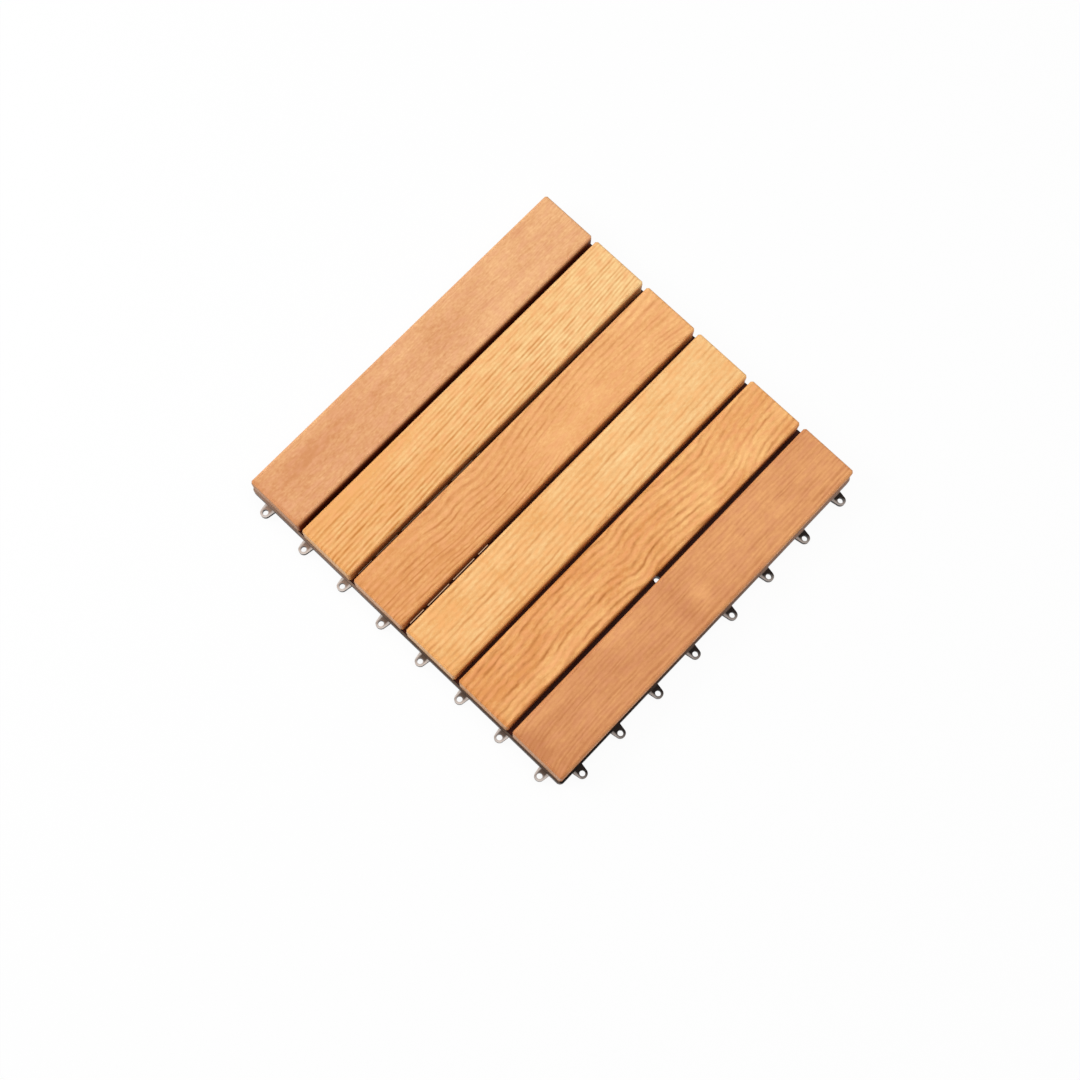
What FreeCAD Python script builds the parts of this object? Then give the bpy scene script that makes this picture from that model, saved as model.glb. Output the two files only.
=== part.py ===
import FreeCAD, Part
import math
import os
import Sketcher

# Interlocking deck tile: six timber slats screwed down onto one moulded grid.
# Millimetres, +Z up, origin on the ground under the middle of the tile. The slats run along Y.
# Two sides of the grid carry a row of loops, and the other two a row of pins that drop into
# the loops of the next tile.

SIZES = {
    # Slats
    "slat_count": 6,
    "slat_width": 46.0,
    "slat_length": 296.0,
    "slat_thickness": 17.0,
    "slat_gap": 4.0,
    "slat_round": 2.0,
    "slat_corner_cut": 1.4,
    # Grid: the outer wall with its lip past the timber, and the ribs inside it
    "base_height": 7.0,
    "loop_side_lip": 1.4,
    "pin_side_lip": 0.4,
    "base_corner_round": 3.5,
    "wall": 2.0,
    "flange_width": 9.0,
    "flange_thickness": 1.2,
    "rib_wall": 2.0,
    "rib_inset": 10.5,
    "cross_cells": 12,
    # Thin strips that close the grid under the slat gaps. Two of them are cut back at the front
    # end, so that a sliver of each cell stays open.
    "strip_width": 7.0,
    "strip_thickness": 1.2,
    "slot_end_wall": 1.0,
    "second_strip_edge": 1.75,
    "second_strip_cells": 4,
    "second_strip_rest": 3.5,
    "third_strip_edge": 1.55,
    "third_strip_cells": 2,
    "third_strip_rest": 9.5,
    "eyelet_radius": 4.4,
    "eyelet_hole_radius": 2.3,
    # Loops that stand out of the front and right sides
    "loop_count": 8,
    "loop_pitch": 37.75,
    "front_row_shift": 2.4,
    "right_row_shift": -0.7,
    "loop_reach": 4.2,
    "loop_radius": 3.7,
    "loop_hole_radius": 2.05,
    "loop_bottom": 2.0,
    "loop_height": 3.5,
    "neck_root_width": 9.2,
    # Pins that hang inside the back and left sides, and the notches around them
    "pin_clearance": 0.15,
    "pin_tip_height": 1.2,
    "pin_web": 1.3,
    "notch_clearance": 0.4,
    "loop_top_clearance": 0.3,
    # Screws that hold the slats from below, through bridges between the ribs. They and their
    # holes come twelve times, so their rounds are drawn with a few flat sides.
    "screw_cells_in": 1.5,
    "bridge_width": 10.0,
    "bridge_thickness": 4.0,
    "screw_sides": 12,
    "head_radius": 3.5,
    "head_height": 2.2,
    "shank_radius": 1.75,
    "shank_clearance": 0.25,
    "screw_length": 14.0,
    "pilot_clearance": 0.05,
    "pilot_depth_clearance": 0.5,
}

document = FreeCAD.newDocument("DeckTile")
sheet = document.addObject("Spreadsheet::Sheet", "Sizes")
for row, (alias, amount) in enumerate(SIZES.items(), start=1):
    sheet.set(f"A{row}", alias)
    sheet.set(f"B{row}", str(amount))
    sheet.setAlias(f"B{row}", alias)
document.recompute()

# Sizes that follow from the driving ones, as rules for the bindings below
slat_pitch = "(Sizes.slat_width + Sizes.slat_gap)"
module_x = f"(Sizes.slat_count * {slat_pitch})"
module_y = "(Sizes.slat_length + Sizes.slat_gap)"
timber_x = f"({module_x} - Sizes.slat_gap)"
first_slat_x = f"(({slat_pitch} - {module_x}) / 2)"
left_face = f"(-{timber_x} / 2 - Sizes.pin_side_lip)"
right_face = f"({timber_x} / 2 + Sizes.loop_side_lip)"
front_face = "(-Sizes.slat_length / 2 - Sizes.loop_side_lip)"
back_face = "(Sizes.slat_length / 2 + Sizes.pin_side_lip)"
cross_pitch = f"({module_y} / Sizes.cross_cells)"
flange_bottom = "(Sizes.base_height - Sizes.flange_thickness)"
loop_top = "(Sizes.loop_bottom + Sizes.loop_height)"
loop_row_length = "((Sizes.loop_count - 1) * Sizes.loop_pitch)"
pin_radius = "(Sizes.loop_hole_radius - Sizes.pin_clearance)"
notch_half_width = "(Sizes.neck_root_width / 2 + Sizes.notch_clearance)"
first_screw_y = f"(Sizes.screw_cells_in * {cross_pitch} - {module_y} / 2)"
rib_offset = "(Sizes.slat_width / 2 - Sizes.rib_inset)"
strip_bottom = "(Sizes.base_height - Sizes.strip_thickness)"
screw_seat = "(Sizes.base_height - Sizes.bridge_thickness)"


# The number that a rule gives now
def amount_of(rule):
    return float(sheet.evalExpression(rule))


def origin_part(body, role):
    return next(item for item in body.Origin.OriginFeatures if item.Role == role)


def new_body(label):
    body = document.addObject("PartDesign::Body", label)
    body.Label = label
    return body


# A sketch on one of the body's own planes. Its origin is moved by the rules in place,
# which are written along the sketch's own axes and normal.
def new_sketch(body, name, plane="XY_Plane", place=("0", "0", "0"), turn=0):
    sketch = body.newObject("Sketcher::SketchObject", name)
    sketch.AttachmentSupport = [(origin_part(body, plane), "")]
    sketch.MapMode = "FlatFace"
    spin = FreeCAD.Rotation(FreeCAD.Vector(0, 0, 1), turn)
    sketch.AttachmentOffset = FreeCAD.Placement(FreeCAD.Vector(0, 0, 0), spin)
    for axis, rule in zip("xyz", place):
        sketch.setExpression(f"AttachmentOffset.Base.{axis}", rule)
    return sketch


# One dimension of a sketch, bound to its rule
def dimension(sketch, kind, rule, *points):
    index = sketch.addConstraint(Sketcher.Constraint(kind, *points, amount_of(rule)))
    sketch.setExpression(f"Constraints[{index}]", rule)


# Ties a point of a sketch to its two coordinates
def pin_point(sketch, geometry, point, across, along):
    dimension(sketch, "DistanceX", across, -1, 1, geometry, point)
    dimension(sketch, "DistanceY", along, -1, 1, geometry, point)


# A closed run of straight lines through corners, which are pairs of rules
def polygon(sketch, corners):
    first = sketch.GeometryCount
    points = [FreeCAD.Vector(amount_of(a), amount_of(b), 0) for a, b in corners]
    count = len(corners)
    for i in range(count):
        sketch.addGeometry(Part.LineSegment(points[i], points[(i + 1) % count]), False)
    for i in range(count):
        after = first + (i + 1) % count
        sketch.addConstraint(Sketcher.Constraint("Coincident", first + i, 2, after, 1))
    for i, (across, along) in enumerate(corners):
        pin_point(sketch, first + i, 1, across, along)


def rectangle(sketch, left, right, front, back):
    polygon(sketch, [(left, front), (right, front), (right, back), (left, back)])


def circle(sketch, across, along, radius):
    centre = FreeCAD.Vector(amount_of(across), amount_of(along), 0)
    shape = Part.Circle(centre, FreeCAD.Vector(0, 0, 1), amount_of(radius))
    index = sketch.addGeometry(shape, False)
    pin_point(sketch, index, 3, across, along)
    dimension(sketch, "Radius", radius, index)


# The outline of a screw or its hole about the sketch's origin, with its corners at a radius
def many_sided(sketch, radius):
    step = 360 / SIZES["screw_sides"]
    corners = []
    for i in range(int(SIZES["screw_sides"])):
        turn = f"{(i + 0.5) * step} deg"
        corners.append((f"({radius}) * cos({turn})", f"({radius}) * sin({turn})"))
    polygon(sketch, corners)


def pad(body, name, sketch, height):
    feature = body.newObject("PartDesign::Pad", name)
    feature.Profile = sketch
    feature.setExpression("Length", height)
    document.recompute()
    body.Tip = feature
    return feature


# Cuts from the sketch's plane upwards
def pocket(body, name, sketch, height):
    feature = body.newObject("PartDesign::Pocket", name)
    feature.Profile = sketch
    feature.Reversed = True
    feature.setExpression("Length", height)
    document.recompute()
    body.Tip = feature
    return feature


# Copies features along X, along Y, or both, from where they stand towards + on each axis
def pattern(body, name, *features, along_x=None, along_y=None):
    rows = [("X_Axis", along_x), ("Y_Axis", along_y)]
    rows = [(role, spec) for role, spec in rows if spec]
    copies = body.newObject("PartDesign::LinearPattern", name)
    copies.Originals = list(features)
    for suffix, (role, (length, count)) in zip(("", "2"), rows):
        setattr(copies, "Direction" + suffix, (origin_part(body, role), [""]))
        copies.setExpression("Length" + suffix, length)
        copies.setExpression("Occurrences" + suffix, count)
    document.recompute()
    body.Tip = copies
    return copies


# A fillet or chamfer on the edges of a feature that the test picks out
def edge_feature(body, kind, name, feature, wanted):
    chosen = [f"Edge{i}" for i, edge in enumerate(feature.Shape.Edges, 1) if wanted(edge)]
    eased = body.newObject(f"PartDesign::{kind}", name)
    eased.Base = (feature, chosen)
    body.Tip = eased
    return eased


def is_upright(edge):
    box = edge.BoundBox
    return box.ZLength > 1e-3 and box.XLength < 1e-3 and box.YLength < 1e-3


def is_on_top(edge):
    box = edge.BoundBox
    return box.ZLength < 1e-3 and box.ZMin > 1e-3


# The four corners of a moulding, an inward step from its outer faces
def inset_rectangle(sketch, step):
    rectangle(
        sketch,
        f"{left_face} + {step}",
        f"{right_face} - {step}",
        f"{front_face} + {step}",
        f"{back_face} - {step}",
    )


# Outer wall, open below, with a flange around the top that the slats lie on
def make_shell():
    body = new_body("shell")
    outline = new_sketch(body, "outline")
    inset_rectangle(outline, "0")
    block = pad(body, "block", outline, "Sizes.base_height")
    corners = edge_feature(body, "Fillet", "rounded_corners", block, is_upright)
    corners.setExpression("Radius", "Sizes.base_corner_round")
    document.recompute()
    inside = new_sketch(body, "inside")
    inset_rectangle(inside, "Sizes.wall")
    pocket(body, "hollow", inside, flange_bottom)
    opening = new_sketch(body, "opening")
    inset_rectangle(opening, "Sizes.flange_width")
    pocket(body, "open_top", opening, "Sizes.base_height")
    add_pin_channels(body)
    add_notches(body)
    return body


# The inner walls of the two channels that the next tile's loops drop into
def add_pin_channels(body):
    left = f"({left_face} + Sizes.flange_width)"
    back = f"({back_face} - Sizes.flange_width)"
    walls = new_sketch(body, "channel_walls")
    polygon(
        walls,
        [
            (f"{left} - Sizes.rib_wall", f"{front_face} + Sizes.wall / 2"),
            (left, f"{front_face} + Sizes.wall / 2"),
            (left, back),
            (f"{right_face} - Sizes.wall / 2", back),
            (f"{right_face} - Sizes.wall / 2", f"{back} + Sizes.rib_wall"),
            (f"{left} - Sizes.rib_wall", f"{back} + Sizes.rib_wall"),
        ],
    )
    pad(body, "channels", walls, "Sizes.base_height")


# A row of openings in each wall of the channels, one for every loop of the next tile
def add_notches(body):
    for side, (x, y, turn, face) in pin_sides().items():
        notch = new_sketch(body, f"{side}_notch", place=(x, y, "0"), turn=turn)
        rectangle(
            notch,
            f"-{notch_half_width}",
            notch_half_width,
            f"-({face}) - Sizes.wall",
            "0",
        )
        cut = pocket(body, f"{side}_notches", notch, f"{loop_top} + Sizes.loop_top_clearance")
        pattern(body, f"{side}_notch_row", cut, **row_spread(side))


# Two ribs under each slat, from the front wall to the channel at the back
def make_long_ribs():
    body = new_body("long_ribs")
    sketch = new_sketch(body, "long_rib_pair")
    for side in (-1, 1):
        middle = f"({first_slat_x} + {side} * {rib_offset})"
        rectangle(
            sketch,
            f"{middle} - Sizes.rib_wall / 2",
            f"{middle} + Sizes.rib_wall / 2",
            f"{front_face} + Sizes.wall / 2",
            f"{back_face} - Sizes.flange_width + Sizes.rib_wall / 2",
        )
    ribs = pad(body, "rib_pair", sketch, "Sizes.base_height")
    pattern(body, "rib_pairs", ribs, along_x=slat_spread)
    return body


# One rib across at every cell, from the channel on the left to the right wall
def make_cross_ribs():
    body = new_body("cross_ribs")
    sketch = new_sketch(body, "cross_rib")
    first = f"({cross_pitch} - {module_y} / 2)"
    rectangle(
        sketch,
        f"{left_face} + Sizes.flange_width - Sizes.rib_wall / 2",
        f"{right_face} - Sizes.wall / 2",
        f"{first} - Sizes.rib_wall / 2",
        f"{first} + Sizes.rib_wall / 2",
    )
    rib = pad(body, "first_cross_rib", sketch, "Sizes.base_height")
    spread = (f"(Sizes.cross_cells - 2) * {cross_pitch}", "Sizes.cross_cells - 1")
    pattern(body, "cross_rib_row", rib, along_y=spread)
    return body


# The middle of the gap to the right of slat number, counted from 1
def gap_middle(number):
    return f"({number} * {slat_pitch} - {module_x} / 2)"


# Strips that close the grid under the gaps between slats. The second and third are cut back
# at the front end, one slot to a cell, which lets a line of light through beside the timber.
def make_gap_strips():
    body = new_body("gap_strips")
    sketch = new_sketch(body, "gap_strip", place=("0", "0", strip_bottom))
    rectangle(
        sketch,
        f"{gap_middle(1)} - Sizes.strip_width / 2",
        f"{gap_middle(1)} + Sizes.strip_width / 2",
        f"{front_face} + Sizes.flange_width / 2",
        f"{back_face} - Sizes.flange_width / 2",
    )
    strips = pad(body, "first_strip", sketch, "Sizes.strip_thickness")
    spread = (f"(Sizes.slat_count - 2) * {slat_pitch}", "Sizes.slat_count - 1")
    pattern(body, "strips", strips, along_x=spread)
    add_slots(body)
    return body


def add_slots(body):
    end_wall = "(Sizes.rib_wall / 2 + Sizes.slot_end_wall)"
    first_rib = f"({cross_pitch} - {module_y} / 2)"
    for number, name in ((2, "second_strip"), (3, "third_strip")):
        sides = (
            f"{gap_middle(number)} - Sizes.strip_width / 2 - Sizes.slot_end_wall",
            f"{gap_middle(number)} - Sizes.{name}_edge",
        )
        sketch = new_sketch(body, f"{name}_slot", place=("0", "0", strip_bottom))
        far = f"{first_rib} + {cross_pitch} - {end_wall}"
        rectangle(sketch, *sides, f"{first_rib} + {end_wall}", far)
        cut = pocket(body, f"{name}_cut", sketch, "Sizes.strip_thickness")
        cells = f"Sizes.{name}_cells"
        spread = (f"({cells} - 1) * {cross_pitch}", cells)
        pattern(body, f"{name}_slots", cut, along_y=spread)
        ends = new_sketch(body, f"{name}_end_slots", place=("0", "0", strip_bottom))
        near = f"{front_face} + Sizes.flange_width / 2"
        rectangle(ends, *sides, near, f"{first_rib} - {end_wall}")
        start = f"({first_rib} + {cells} * {cross_pitch} + {end_wall})"
        rectangle(ends, *sides, start, f"{start} + Sizes.{name}_rest")
        pocket(body, f"{name}_ends", ends, "Sizes.strip_thickness")


# The spread of the slats, and of the screws along them
slat_spread = (f"(Sizes.slat_count - 1) * {slat_pitch}", "Sizes.slat_count")
screw_spread = (f"-2 * {first_screw_y}", "2")


# A thick bridge between two ribs under every screw, bored for its shank. The screw's head
# bears on the bridge from below, inside the depth of the ribs.
def make_bridges():
    body = new_body("screw_bridges")
    sketch = new_sketch(body, "bridge", place=(first_slat_x, first_screw_y, screw_seat))
    half = "Sizes.bridge_width / 2"
    rectangle(sketch, f"-{rib_offset}", rib_offset, f"-{half}", half)
    many_sided(sketch, "Sizes.shank_radius + Sizes.shank_clearance")
    bridge = pad(body, "first_bridge", sketch, "Sizes.bridge_thickness")
    pattern(body, "bridges", bridge, along_x=slat_spread, along_y=screw_spread)
    return body


# An eyelet in the middle of the last gap strip, and the tool that bores it
def make_eyelet():
    last_gap = gap_middle(int(SIZES["slat_count"]) - 1)
    cylinders = []
    for name, radius in (("eyelet", "eyelet_radius"), ("eyelet_bore", "eyelet_hole_radius")):
        cylinder = document.addObject("Part::Cylinder", name)
        cylinder.setExpression("Radius", f"Sizes.{radius}")
        cylinder.setExpression("Height", "Sizes.base_height")
        cylinder.setExpression("Placement.Base.x", last_gap)
        cylinders.append(cylinder)
    return cylinders


# The outline of one loop with its neck. The loop's middle is the sketch's origin, the grid's
# wall is on the + side, and face is how far away that wall's face is.
def loop_outline(sketch, face):
    half = amount_of("Sizes.neck_root_width / 2")
    away = amount_of(face)
    inside = f"{face} + Sizes.wall / 2"
    radius = amount_of("Sizes.loop_radius")
    bearing = math.atan2(away, -half)
    swing = math.acos(radius / math.hypot(half, away))
    start = bearing + swing
    finish = 3 * math.pi - start
    ring = Part.Circle(FreeCAD.Vector(0, 0, 0), FreeCAD.Vector(0, 0, 1), radius)
    arc = Part.ArcOfCircle(ring, start, finish)
    touch = FreeCAD.Vector(radius * math.cos(start), radius * math.sin(start), 0)
    corners = [
        touch,
        FreeCAD.Vector(-half, away, 0),
        FreeCAD.Vector(-half, amount_of(inside), 0),
        FreeCAD.Vector(half, amount_of(inside), 0),
        FreeCAD.Vector(half, away, 0),
        FreeCAD.Vector(-touch.x, touch.y, 0),
    ]
    for before, after in zip(corners, corners[1:]):
        sketch.addGeometry(Part.LineSegment(before, after), False)
    round_end = sketch.addGeometry(arc, False)
    for line in range(4):
        sketch.addConstraint(Sketcher.Constraint("Coincident", line, 2, line + 1, 1))
    pin_point(sketch, round_end, 3, "0", "0")
    dimension(sketch, "Radius", "Sizes.loop_radius", round_end)
    pin_point(sketch, 0, 2, "-Sizes.neck_root_width / 2", face)
    pin_point(sketch, 1, 2, "-Sizes.neck_root_width / 2", inside)
    pin_point(sketch, 2, 2, "Sizes.neck_root_width / 2", inside)
    pin_point(sketch, 3, 2, "Sizes.neck_root_width / 2", face)
    sketch.addConstraint(Sketcher.Constraint("Tangent", 0, 1, round_end, 1))
    sketch.addConstraint(Sketcher.Constraint("Tangent", 4, 2, round_end, 2))


# The sides that carry loops or pins: where the first one stands, how its sketch is turned so
# that the tile's outside is on the sketch's - side, and the axis that the row runs along
def loop_sides():
    front_x = f"(Sizes.front_row_shift - {loop_row_length} / 2)"
    right_y = f"(Sizes.right_row_shift - {loop_row_length} / 2)"
    front_y = f"(-{module_y} / 2 - Sizes.loop_reach)"
    right_x = f"({module_x} / 2 + Sizes.loop_reach)"
    return {
        "front": (front_x, front_y, 0, f"{front_face} - {front_y}"),
        "right": (right_x, right_y, 90, f"{right_x} - {right_face}"),
    }


def pin_sides():
    back_x = f"(Sizes.front_row_shift - {loop_row_length} / 2)"
    left_y = f"(Sizes.right_row_shift - {loop_row_length} / 2)"
    back_y = f"({module_y} / 2 - Sizes.loop_reach)"
    left_x = f"(-{module_x} / 2 + Sizes.loop_reach)"
    return {
        "back": (back_x, back_y, 180, f"{back_face} - {back_y}"),
        "left": (left_x, left_y, 270, f"{left_x} - {left_face}"),
    }


def row_spread(side):
    spread = (loop_row_length, "Sizes.loop_count")
    return {"along_x": spread} if side in ("front", "back") else {"along_y": spread}


# The two rows of loops, each bored for a pin
def make_loops():
    rows = []
    for side, (x, y, turn, face) in loop_sides().items():
        body = new_body(f"{side}_loops")
        sketch = new_sketch(body, f"{side}_loop", place=(x, y, "Sizes.loop_bottom"), turn=turn)
        loop_outline(sketch, face)
        circle(sketch, "0", "0", "Sizes.loop_hole_radius")
        loop = pad(body, f"first_{side}_loop", sketch, "Sizes.loop_height")
        pattern(body, f"{side}_loop_row", loop, **row_spread(side))
        rows.append(body)
    return rows


# The two rows of pins that hang from the flange in the channels. Each has a cross section
# of two webs, whose four edges guide it into a loop.
def make_pins():
    web = "Sizes.pin_web / 2"
    corner = [(web, pin_radius), (web, web), (pin_radius, web)]
    quarter = corner
    outline = []
    for _ in range(4):
        outline += quarter
        quarter = [(along, f"-{across}") for across, along in quarter]
    rise = f"{flange_bottom} + Sizes.flange_thickness / 2 - Sizes.pin_tip_height"
    rows = []
    for side, (x, y, turn, _) in pin_sides().items():
        body = new_body(f"{side}_pins")
        sketch = new_sketch(body, f"{side}_pin", place=(x, y, "Sizes.pin_tip_height"))
        polygon(sketch, outline)
        pins = pad(body, f"first_{side}_pin", sketch, rise)
        pattern(body, f"{side}_pin_row", pins, **row_spread(side))
        rows.append(body)
    return rows


# The whole moulding: everything above in one piece, with the eyelet bored last
def make_base_grid():
    eyelet, eyelet_bore = make_eyelet()
    moulding = document.addObject("Part::MultiFuse", "moulding")
    moulding.Shapes = [
        make_shell(),
        make_long_ribs(),
        make_cross_ribs(),
        make_gap_strips(),
        make_bridges(),
        eyelet,
        *make_loops(),
        *make_pins(),
    ]
    moulding.Refine = True
    grid = document.addObject("Part::Cut", "base_grid")
    grid.Label = "base_grid"
    grid.Base = moulding
    grid.Tool = eyelet_bore
    grid.Refine = False
    return grid


# One slat, eased along its top edges and upright corners and drilled from below
def make_slat(number):
    body = new_body(f"slat_{number}")
    plan = new_sketch(body, "plan")
    half_width = "Sizes.slat_width / 2"
    half_length = "Sizes.slat_length / 2"
    rectangle(plan, f"-{half_width}", half_width, f"-{half_length}", half_length)
    board = pad(body, "board", plan, "Sizes.slat_thickness")
    cut = edge_feature(body, "Chamfer", "cut_corners", board, is_upright)
    cut.setExpression("Size", "Sizes.slat_corner_cut")
    document.recompute()
    rounded = edge_feature(body, "Fillet", "rounded_arrises", cut, is_on_top)
    rounded.setExpression("Radius", "Sizes.slat_round")
    document.recompute()
    pilot = new_sketch(body, "pilot_hole", place=("0", first_screw_y, "0"))
    many_sided(pilot, "Sizes.shank_radius + Sizes.pilot_clearance")
    in_timber = "(Sizes.screw_length - Sizes.bridge_thickness)"
    hole = pocket(body, "first_pilot_hole", pilot, f"{in_timber} + Sizes.pilot_depth_clearance")
    pattern(body, "pilot_holes", hole, along_y=screw_spread)
    body.setExpression("Placement.Base.x", f"{first_slat_x} + {number - 1} * {slat_pitch}")
    body.setExpression("Placement.Base.z", "Sizes.base_height")
    return body


# Screws with flat pan heads, each head hard against its bridge
def make_screws():
    body = new_body("screws")
    face = f"{screw_seat} - Sizes.head_height"
    head = new_sketch(body, "head_outline", place=(first_slat_x, first_screw_y, face))
    many_sided(head, "Sizes.head_radius")
    first_head = pad(body, "first_head", head, "Sizes.head_height")
    shank = new_sketch(body, "shank_outline", place=(first_slat_x, first_screw_y, screw_seat))
    many_sided(shank, "Sizes.shank_radius")
    first_shank = pad(body, "first_shank", shank, "Sizes.screw_length")
    pattern(
        body,
        "screw_grid",
        first_head,
        first_shank,
        along_x=slat_spread,
        along_y=screw_spread,
    )
    return body


pieces = [make_base_grid()]
pieces += [make_slat(number) for number in range(1, int(SIZES["slat_count"]) + 1)]
pieces.append(make_screws())
document.recompute()

for item in document.Objects:
    if "Invalid" in item.State or "Error" in item.State:
        raise RuntimeError(f"{item.Label} did not build: {item.State}")
for piece in pieces:
    if piece.Shape.isNull() or not piece.Shape.isValid():
        raise RuntimeError(f"{piece.Label} has no sound solid")

os.makedirs("parts", exist_ok=True)
for piece in pieces:
    piece.Shape.exportStep(f"parts/{piece.Label}.step")
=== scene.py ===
import math
import bmesh
import bpy
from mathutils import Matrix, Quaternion, Vector


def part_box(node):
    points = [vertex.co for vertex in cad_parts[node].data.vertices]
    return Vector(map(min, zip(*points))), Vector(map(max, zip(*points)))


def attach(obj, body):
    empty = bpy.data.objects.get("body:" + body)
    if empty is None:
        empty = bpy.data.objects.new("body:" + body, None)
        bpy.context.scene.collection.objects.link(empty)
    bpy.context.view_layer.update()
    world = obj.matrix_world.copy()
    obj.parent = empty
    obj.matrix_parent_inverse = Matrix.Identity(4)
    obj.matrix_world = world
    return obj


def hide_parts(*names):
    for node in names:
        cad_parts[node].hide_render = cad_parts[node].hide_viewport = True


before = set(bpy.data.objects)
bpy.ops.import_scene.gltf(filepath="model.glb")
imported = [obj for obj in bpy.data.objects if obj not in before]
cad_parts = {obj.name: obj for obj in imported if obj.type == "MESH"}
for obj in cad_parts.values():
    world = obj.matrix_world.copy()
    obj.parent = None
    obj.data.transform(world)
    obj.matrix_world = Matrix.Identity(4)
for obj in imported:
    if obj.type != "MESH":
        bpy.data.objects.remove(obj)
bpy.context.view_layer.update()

# Interlocking deck tile: six oiled timber slats on a black moulded grid, seen from above.
# The slats run along Y, and the loops stand out of the -Y and +X sides. Lengths are metres,
# but the materials work in millimetres.

scene = bpy.context.scene
toMillimetres = 1000.0
white = (1.0, 1.0, 1.0, 1.0)
print("frame loaded:", len(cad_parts), "nodes")


# Small helpers for building materials

def newNode(tree, kind, **settings):
    node = tree.nodes.new(kind)
    for name, value in settings.items():
        setattr(node, name, value)
    return node


def plug(tree, socket, value):
    # a socket is linked, anything else is set as the default
    if isinstance(value, bpy.types.NodeSocket):
        tree.links.new(value, socket)
    else:
        socket.default_value = value


def maths(tree, operation, first, second=0.0, third=0.0, clamp=False):
    node = newNode(tree, "ShaderNodeMath", operation=operation, use_clamp=clamp)
    for socket, value in zip(node.inputs, (first, second, third)):
        plug(tree, socket, value)
    return node.outputs[0]


def combine(tree, x, y, z):
    node = newNode(tree, "ShaderNodeCombineXYZ")
    for socket, value in zip(node.inputs, (x, y, z)):
        plug(tree, socket, value)
    return node.outputs[0]


def separate(tree, vector):
    node = newNode(tree, "ShaderNodeSeparateXYZ")
    plug(tree, node.inputs[0], vector)
    return node.outputs


def scaled(tree, vector, factor):
    node = newNode(tree, "ShaderNodeVectorMath", operation="SCALE")
    plug(tree, node.inputs[0], vector)
    plug(tree, node.inputs["Scale"], factor)
    return node.outputs[0]


def noise(tree, vector, seed, detail=1.0, roughness=0.5):
    node = newNode(tree, "ShaderNodeTexNoise", noise_dimensions="4D")
    plug(tree, node.inputs["Vector"], vector)
    plug(tree, node.inputs["W"], seed)
    node.inputs["Scale"].default_value = 1.0
    node.inputs["Detail"].default_value = detail
    node.inputs["Roughness"].default_value = roughness
    return node.outputs["Fac"]


def smooth(tree, value, start, full):
    # 0 before the start and 1 where it is full
    node = newNode(tree, "ShaderNodeMapRange", interpolation_type="SMOOTHSTEP")
    plug(tree, node.inputs["Value"], value)
    plug(tree, node.inputs["From Min"], start)
    plug(tree, node.inputs["From Max"], full)
    return node.outputs["Result"]


def mixColour(tree, factor, first, second, blend="MIX"):
    node = newNode(tree, "ShaderNodeMix", data_type="RGBA", blend_type=blend)
    plug(tree, node.inputs["Factor"], factor)
    plug(tree, node.inputs["A"], first)
    plug(tree, node.inputs["B"], second)
    return node.outputs["Result"]


def objectPlace(tree):
    return newNode(tree, "ShaderNodeTexCoord").outputs["Object"]


def millimetrePlace(tree, middle=(0.0, 0.0, 0.0)):
    # the place on the surface, from a middle that is given in metres
    centred = newNode(tree, "ShaderNodeVectorMath", operation="SUBTRACT")
    plug(tree, centred.inputs[0], objectPlace(tree))
    plug(tree, centred.inputs[1], middle)
    return scaled(tree, centred.outputs[0], toMillimetres)


def newGroup(name, inputs, outputs):
    # inputs and outputs are pairs of a name and a socket kind
    group = bpy.data.node_groups.new(name, "ShaderNodeTree")
    for direction, sockets in (("INPUT", inputs), ("OUTPUT", outputs)):
        for label, kind in sockets:
            group.interface.new_socket(label, in_out=direction, socket_type="NodeSocket" + kind)
    return group, newNode(group, "NodeGroupInput").outputs, newNode(group, "NodeGroupOutput").inputs


def placeGroup(tree, group, values):
    # one use of a node group, with its own values
    node = newNode(tree, "ShaderNodeGroup", node_tree=group)
    for name, value in values.items():
        plug(tree, node.inputs[name], value)
    return node.outputs


def newMaterial(name):
    material = bpy.data.materials.new(name)
    material.use_nodes = True
    tree = material.node_tree
    return material, tree, tree.nodes["Principled BSDF"].inputs


def fineBump(tree, height, strength, distance):
    node = newNode(tree, "ShaderNodeBump")
    node.inputs["Strength"].default_value = strength
    node.inputs["Distance"].default_value = distance
    plug(tree, node.inputs["Height"], height)
    return node.outputs["Normal"]


def rgb(red, green, blue):
    # a colour as it looks on screen, 0 to 255, as the linear values that nodes take
    linear = [((c / 255 + 0.055) / 1.055) ** 2.4 if c > 10 else c / 255 / 12.92 for c in (red, green, blue)]
    return (*linear, 1.0)


def dress(node, material):
    mesh = bpy.data.objects[node].data
    if not mesh.materials:
        mesh.materials.append(material)
    for i in range(len(mesh.materials)):
        mesh.materials[i] = material


# Timber

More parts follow.
